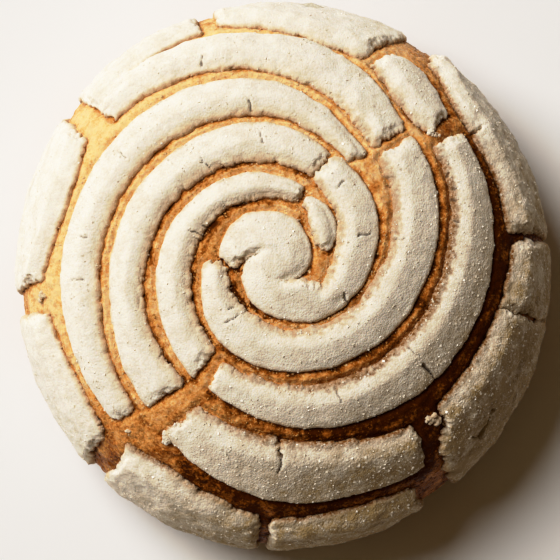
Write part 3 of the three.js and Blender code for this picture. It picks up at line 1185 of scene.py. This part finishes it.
@dataclass(frozen=True)
class Shape:
    """A small closed shape, one unit across: its corners and faces, and the noise that makes it ragged."""

    corners: np.ndarray
    faces: np.ndarray
    rough: Relief = Relief(0.4, 0.8, 2)
    apart: float = 7.3

    @classmethod
    def crystal(cls) -> "Shape":
        """Make a cube, as sugar grows.

        Returns:
            The shape.
        """
        corners = np.array([[x, y, z] for x in (-1, 1) for y in (-1, 1) for z in (-1, 1)]) / 2
        faces = np.array([
            [0, 1, 3, 2], [4, 6, 7, 5], [0, 4, 5, 1], [2, 3, 7, 6], [0, 2, 6, 4], [1, 5, 7, 3],
        ])
        return cls(corners, faces)

    @classmethod
    def crumb(cls, fineness: int = 2) -> "Shape":
        """Make a ball, to be made ragged.

        Args:
            fineness: 1 for 20 faces, and four times as many for each step more.

        Returns:
            The shape.
        """
        work = bmesh.new()
        bmesh.ops.create_icosphere(work, subdivisions=fineness, radius=0.5)
        corners = np.array([vertex.co[:] for vertex in work.verts])
        faces = np.array([[vertex.index for vertex in face.verts] for face in work.faces])
        work.free()
        return cls(corners, faces)

    def ragged(self, sizes: np.ndarray, seed: int) -> np.ndarray:
        """Draw out the corners of copies of these sizes, each copy its own way.

        Args:
            sizes: Length of each copy along its own axes, in millimetres.
            seed: Start of the noise.

        Returns:
            A factor for each corner of each copy.
        """
        points = self.corners[None] * sizes[:, None] + self.apart * np.arange(len(sizes))[:, None, None]
        return 1.0 + self.rough.over(points.reshape(-1, 3), Noise(seed)).reshape(len(sizes), -1)

    def copies(self, name: str, places: np.ndarray, turns: np.ndarray, sizes: np.ndarray,
               ragged: np.ndarray | None = None) -> bpy.types.Object:
        """Join many copies into one mesh.

        Args:
            name: Name of the piece.
            places: Middle of each copy in millimetres.
            turns: A rotation for each copy, its rows the directions of the copy's own axes.
            sizes: Length of each copy along its own axes, in millimetres.
            ragged: How much each corner of each copy is drawn out, or nothing for plain copies.

        Returns:
            The piece, in metres.
        """
        stretch = 1.0 if ragged is None else ragged[:, :, None]
        points = (self.corners[None] * stretch * sizes[:, None]) @ turns + places[:, None]
        first = len(self.corners) * np.arange(len(places))
        faces = (self.faces[None] + first[:, None, None]).reshape(-1, self.faces.shape[1])
        mesh = bpy.data.meshes.new(name)
        mesh.from_pydata((points.reshape(-1, 3) * MM).tolist(), [], faces.tolist())
        piece = bpy.data.objects.new(name, mesh)
        bpy.context.scene.collection.objects.link(piece)
        return piece


def any_turns(draw: np.random.Generator, count: int) -> np.ndarray:
    """Rotations in every direction alike."""
    turns = np.linalg.qr(draw.normal(size=(count, 3, 3)))[0]
    return turns * np.sign(np.linalg.det(turns))[:, None, None]


def turns_on(up: np.ndarray, draw: np.random.Generator) -> np.ndarray:
    """Draw rotations that keep the third axis near the given upward directions.

    Args:
        up: One direction a row.
        draw: Where the draws come from.

    Returns:
        A rotation for each direction, its rows the directions of the turned axes.
    """
    third = up + draw.normal(scale=LEAN, size=up.shape)
    third /= np.linalg.norm(third, axis=1, keepdims=True)
    first = np.cross(third, draw.normal(size=up.shape))
    first /= np.linalg.norm(first, axis=1, keepdims=True)
    return np.stack([first, np.cross(third, first), third], axis=1)


def face_places(piece: bpy.types.Object) -> np.ndarray:
    """Find where the faces of a finished piece are.

    Args:
        piece: The piece, in metres.

    Returns:
        The middle of each face, in millimetres, and its outward direction.
    """
    faces = piece.data.polygons
    centres = np.empty(len(faces) * 3)
    faces.foreach_get("center", centres)
    normals = np.empty(len(faces) * 3)
    faces.foreach_get("normal", normals)
    return np.hstack([centres.reshape(-1, 3) / MM, normals.reshape(-1, 3)])


@dataclass
class SugarGrains:
    """Crystals of sugar that stand proud of the paste, fewest where it is pale, as one joined mesh."""

    oven_and_shade: OvenAndShade
    count: int = 9000
    spare: int = 3
    smallest: float = 0.14
    largest: float = 0.46
    rarity: int = 3
    uneven: tuple[float, float] = (0.75, 1.25)
    sunk: float = 0.2
    on_top: Band = Band(56.0, 44.0)
    least_pale: float = 0.2
    least_side: float = 0.3
    lowest: float = 1.0
    upward: float = 0.2
    seed: int = 5
    finish: CoarseSugar = field(default_factory=CoarseSugar)

    def build(self, strips: list[bpy.types.Object], bun: BVHTree) -> bpy.types.Object:
        """Scatter the crystals over the tops of the strips.

        Args:
            strips: The pieces of paste.
            bun: Search tree over the bread.

        Returns:
            The dressed piece.
        """
        draw = np.random.default_rng(self.seed)
        every = np.vstack([face_places(strip) for strip in strips])
        chosen = every[draw.choice(len(every), self.count * self.spare, replace=False)]
        crust = nearest(bun, chosen[:, :3])
        browned = at_least(self.least_pale, self.oven_and_shade.browning_and_shade(chosen, self.oven_and_shade.crust_start))
        on_top = at_least(self.least_side, self.on_top.at(np.hypot(chosen[:, 0], chosen[:, 1])))
        showing = draw.uniform(size=len(chosen)) < browned * on_top
        upward = (chosen[:, 3:] * crust.outward).sum(axis=1)
        chosen = chosen[showing & (crust.gap > self.lowest) & (upward > self.upward)][:self.count]
        rarity = draw.uniform(size=(len(chosen), 1)) ** self.rarity
        sizes = self.smallest + (self.largest - self.smallest) * rarity
        sizes = sizes * draw.uniform(*self.uneven, (len(chosen), 3))
        turns = any_turns(draw, len(chosen))
        places = chosen[:, :3] - self.sunk * sizes[:, :1] * chosen[:, 3:]
        piece = Shape.crystal().copies("sugar_grains", places, turns, sizes)
        piece.data.materials.append(self.finish.material())
        return piece


@dataclass
class EdgeFlakes:
    """Toasted flakes that broke off the strips' inner feet and lie along them, as one joined mesh."""

    finish: bpy.types.Material
    count: int = 420
    length: tuple[float, float] = (0.45, 1.2)
    slimness: float = 0.5
    height: tuple[float, float] = (0.2, 0.4)
    lift: tuple[float, float] = (-0.3, 0.05)
    toast: tuple[float, float] = (0.65, 1.0)
    patches: Relief = Relief(1.0, 4.0)
    bare: float = -0.25
    seed: int = 21

    def build(self, feet: np.ndarray) -> bpy.types.Object:
        """Lay the flakes.

        Args:
            feet: Spots along the strips' inner feet, with the upward direction of the crust there.

        Returns:
            The dressed piece.
        """
        draw = np.random.default_rng(self.seed)
        chosen = feet[self.patches.over(feet[:, :3], Noise(self.seed)) > self.bare]
        chosen = chosen[draw.choice(len(chosen), self.count, replace=False)]
        up = chosen[:, 3:]
        turns = turns_on(up, draw)
        sizes = np.stack([
            draw.uniform(*self.length, self.count),
            draw.uniform(*self.length, self.count) * self.slimness,
            draw.uniform(*self.height, self.count),
        ], axis=1)
        shape = Shape.crumb()
        ragged = shape.ragged(sizes, self.seed)
        places = chosen[:, :3] + up * draw.uniform(*self.lift, (self.count, 1))
        piece = shape.copies("edge_flakes", places, turns, sizes, ragged)
        mark(piece, "toast", np.repeat(draw.uniform(*self.toast, self.count), len(shape.corners)))
        piece.data.materials.append(self.finish)
        return piece


@dataclass
class GrooveCrumbs:
    """Grains of crust that stand in the grooves, thickest against the strips, as one joined mesh."""

    finish: bpy.types.Material
    oven_and_shade: OvenAndShade
    count: int = 6000
    smallest: float = 0.28
    largest: float = 0.75
    rarity: int = 3
    uneven: tuple[float, float] = (0.7, 1.3)
    flatness: float = 0.55
    sunk: float = 0.3
    lowest: float = 14.0
    reach: float = 4.0
    open_side: Band = Band(-0.4, 0.4)
    least_open: float = 0.3
    along_strips: float = 0.9
    elsewhere: float = 0.1
    clear: float = 0.4
    hot_shaded_gain: float = 1.15
    at_inmost: float = 0.3
    own_bake: tuple[float, float] = (-0.35, 0.1)
    evened: float = 0.8
    seed: int = 44

    def build(self, bread: bpy.types.Object, paste: BVHTree) -> bpy.types.Object:
        """Scatter the grains over the crust.

        Args:
            bread: The finished bread.
            paste: Search tree over the strips of paste.

        Returns:
            The dressed piece.
        """
        draw = np.random.default_rng(self.seed)
        every = face_places(bread)
        every = every[(every[:, 2] > self.lowest) & (every[:, 5] > 0.0)]
        strip = nearest(paste, every[:, :3], self.reach)
        run = self.oven_and_shade.along(strip.place - every[:, :3]) / np.maximum(strip.gap, 1e-6)
        beside = np.exp(-(strip.gap / self.along_strips) ** 2)
        wanted = self.elsewhere + beside * at_least(self.least_open, self.open_side.at(run))
        wanted = wanted * (strip.gap > self.clear)
        chosen = every[draw.choice(len(every), self.count, replace=False, p=wanted / wanted.sum())]
        rarity = draw.uniform(size=(self.count, 1)) ** self.rarity
        sizes = self.smallest + (self.largest - self.smallest) * rarity
        sizes = sizes * draw.uniform(*self.uneven, (self.count, 3)) * np.array([1.0, 1.0, self.flatness])
        shape = Shape.crumb(1)
        ragged = shape.ragged(sizes, self.seed)
        places = chosen[:, :3] - self.sunk * sizes[:, 2:] * chosen[:, 3:]
        piece = shape.copies("groove_crumbs", places, turns_on(chosen[:, 3:], draw), sizes, ragged)
        hot_and_shaded = self.oven_and_shade.browning_and_shade(chosen, self.oven_and_shade.crust_start)
        inmost = self.oven_and_shade.inmost(chosen)
        own = draw.uniform(*self.own_bake, self.count) * (1.0 - self.evened * np.maximum(hot_and_shaded, inmost))
        # Like the crust, crumbs on the side turned from the lamp and in the left inner grooves are darkened
        # by browning and painted shade.
        bake = self.hot_shaded_gain * hot_and_shaded + self.at_inmost * inmost + own
        mark(piece, "bake", np.repeat(bake, len(shape.corners)))
        piece.data.materials.append(self.finish)
        piece.data.shade_smooth()
        return piece


@dataclass(frozen=True)
class Crumb:
    """A loose crumb, by its place in plan about the middle of the spiral, its size and how toasted it is."""

    angle: float
    distance: float
    size: float
    toast: float


@dataclass
class LooseCrumbs:
    """Crumbs of paste that lie in the grooves, each a clump of small lumps, as one joined mesh."""

    finish: bpy.types.Material
    scoring: Scoring
    named: tuple[Crumb, ...] = (
        Crumb(315.3, 44.2, 2.7, 0.6),
        Crumb(316.8, 45.6, 2.2, 0.6),
        Crumb(186.1, 48.6, 1.8, 0.5),
        Crumb(237.8, 41.4, 2.6, 0.15),
        Crumb(238.6, 38.4, 2.0, 0.15),
        Crumb(228.0, 45.1, 1.4, 0.6),
        Crumb(41.5, 42.6, 2.2, 0.3),
        Crumb(39.6, 42.9, 1.5, 0.5),
        Crumb(347.8, 47.8, 2.3, 0.6),
    )
    lumps: int = 12
    scatter: float = 0.2
    lump_size: tuple[float, float] = (0.25, 0.6)
    uneven: tuple[float, float] = (0.75, 1.1)
    lowest: float = 0.9
    highest: float = 1.0
    heap: float = 0.2
    own_toast: tuple[float, float] = (-0.1, 0.15)
    above: float = 100.0
    seed: int = 33

    def build(self, bun: BVHTree) -> bpy.types.Object:
        """Lay the crumbs on the crust.

        Args:
            bun: Search tree over the bread.

        Returns:
            The dressed piece.
        """
        draw = np.random.default_rng(self.seed)
        places = []
        sizes = []
        toast = []
        for crumb in self.named:
            middle = self.scoring.plan(crumb.angle, crumb.distance)
            for _ in range(self.lumps):
                spot = middle + draw.normal(scale=self.scatter * crumb.size, size=2)
                found = bun.ray_cast(Vector((*spot, self.above)), Vector((0.0, 0.0, -1.0)))
                lift = draw.uniform(self.lowest, self.highest + self.heap * crumb.size)
                places.append(found[0] + found[1] * lift)
                sizes.append(crumb.size * draw.uniform(*self.lump_size))
                toast.append(crumb.toast + draw.uniform(*self.own_toast))
        count = len(places)
        shape = Shape.crumb()
        stretch = np.array(sizes)[:, None] * draw.uniform(*self.uneven, (count, 3))
        ragged = shape.ragged(stretch, self.seed)
        piece = shape.copies("loose_crumbs", np.array(places), any_turns(draw, count), stretch, ragged)
        mark(piece, "toast", np.repeat(toast, len(shape.corners)))
        piece.data.materials.append(self.finish)
        return piece


@dataclass(frozen=True)
class Studio:
    """A white paper floor, a soft lamp at the upper left, a weak sky and a camera almost straight above."""

    aim: tuple[float, float, float] = (-0.65, -1.4, 20.0)
    camera_distance: float = 620.0
    camera_height_deg: float = 84.0
    frame_mm: float = 120.43
    sensor_mm: float = 36.0
    lamp_turn_deg: float = 144.0
    lamp_height_deg: float = 50.0
    lamp_distance: float = 2500.0
    lamp_size: float = 1700.0
    lamp_power: float = 69.0
    sky: str = "#ffcf8a"
    sky_strength: float = 0.09
    floor_size: float = 4000.0
    response: tuple[tuple[float, float], ...] = (
        (0.0, 0.0), (0.1, 0.07), (0.36, 0.32), (0.65, 0.69), (1.0, 0.94), (1.3, 1.0),
    )
    paper: StudioPaper = field(default_factory=StudioPaper)

    def build(self) -> None:
        """Set up the floor, the lights and the camera."""
        self.floor()
        self.lamp()
        self.world()
        self.film()
        self.camera()

    def floor(self) -> None:
        """Lay the paper."""
        half = self.floor_size * MM / 2
        mesh = bpy.data.meshes.new("floor")
        corners = [(-half, -half, 0), (half, -half, 0), (half, half, 0), (-half, half, 0)]
        mesh.from_pydata(corners, [], [(0, 1, 2, 3)])
        mesh.materials.append(self.paper.material())
        floor = bpy.data.objects.new("floor", mesh)
        bpy.context.scene.collection.objects.link(floor)

    def lamp(self) -> None:
        """Hang the lamp."""
        light = bpy.data.lights.new("key", "AREA")
        light.shape = "DISK"
        light.size = self.lamp_size * MM
        light.energy = self.lamp_power
        turn = math.radians(self.lamp_turn_deg)
        rise = math.radians(self.lamp_height_deg)
        away = Vector((math.cos(turn) * math.cos(rise), math.sin(turn) * math.cos(rise), math.sin(rise)))
        key = bpy.data.objects.new("key", light)
        key.location = away * self.lamp_distance * MM
        key.rotation_euler = away.to_track_quat("Z", "Y").to_euler()
        bpy.context.scene.collection.objects.link(key)

    def world(self) -> None:
        """A weak, slightly warm sky."""
        world = bpy.data.worlds.new("studio")
        world.use_nodes = True
        background = world.node_tree.nodes["Background"]
        background.inputs["Color"].default_value = linear(self.sky)
        background.inputs["Strength"].default_value = self.sky_strength
        bpy.context.scene.world = world

    def film(self) -> None:
        """Answer light as a camera does, with deeper shade and soft highlights."""
        view = bpy.context.scene.view_settings
        view.view_transform = "Standard"
        view.use_curve_mapping = True
        view.curve_mapping.clip_max_x = self.response[-1][0]
        curve = view.curve_mapping.curves[3]
        while len(curve.points) < len(self.response):
            curve.points.new(1.0, 1.0)
        for point, place in zip(curve.points, self.response):
            point.location = place
        view.curve_mapping.update()

    def camera(self) -> None:
        """Look down from the front, the concha filling the frame."""
        lens = bpy.data.cameras.new("camera")
        lens.sensor_width = self.sensor_mm
        lens.lens = self.sensor_mm * self.camera_distance / self.frame_mm
        rise = math.radians(self.camera_height_deg)
        away = Vector((0.0, -math.cos(rise), math.sin(rise)))
        camera = bpy.data.objects.new("camera", lens)
        camera.location = (Vector(self.aim) + away * self.camera_distance) * MM
        camera.rotation_euler = away.to_track_quat("Z", "Y").to_euler()
        bpy.context.scene.collection.objects.link(camera)
        bpy.context.scene.camera = camera


def hand_over(piece: bpy.types.Object, slot: Slot, *nodes: str) -> None:
    """Say which body a piece rides on and which solids it stands for.

    Args:
        piece: The finished piece.
        slot: The slot of its finish; not used.
        nodes: The solids that it replaces, if any.
    """
    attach(piece, BODY)
    if nodes:
        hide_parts(*nodes)
    log.info("%s: %d faces", piece.name, len(piece.data.polygons))


def main() -> None:
    """Build the concha from the bread outwards, then the studio."""
    logging.basicConfig(level=logging.INFO, format="%(name)s %(message)s")
    scoring = Scoring()
    oven_and_shade = OvenAndShade()
    bun = Bun(scoring, oven_and_shade)
    nodes = sorted(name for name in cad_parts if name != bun.node)
    bread_tree = search_tree([bun.node])
    paste_tree = search_tree(nodes)
    bread = bun.build(paste_tree)
    hand_over(bread, Slot.CRUST, bun.node)
    paste = SugarPaste().material()
    strips = []
    for number, node in enumerate(nodes):
        noise = Noise(FIRST_STRIP_SEED + number)
        strip = PasteStrip(node, paste, scoring, oven_and_shade, noise, Texture.of(node).value).build(bread_tree)
        hand_over(strip.piece, Slot.PASTE, node)
        strips.append(strip)
    feet = np.vstack([strip.feet for strip in strips])
    hand_over(EdgeFlakes(paste).build(feet), Slot.PASTE)
    hand_over(GrooveCrumbs(bread.active_material, oven_and_shade).build(bread, paste_tree), Slot.CRUST)
    hand_over(LooseCrumbs(paste, scoring).build(bread_tree), Slot.PASTE)
    hand_over(SugarGrains(oven_and_shade).build([strip.piece for strip in strips], bread_tree), Slot.PASTE)
    Studio().build()


if __name__ == "__main__":
    main()
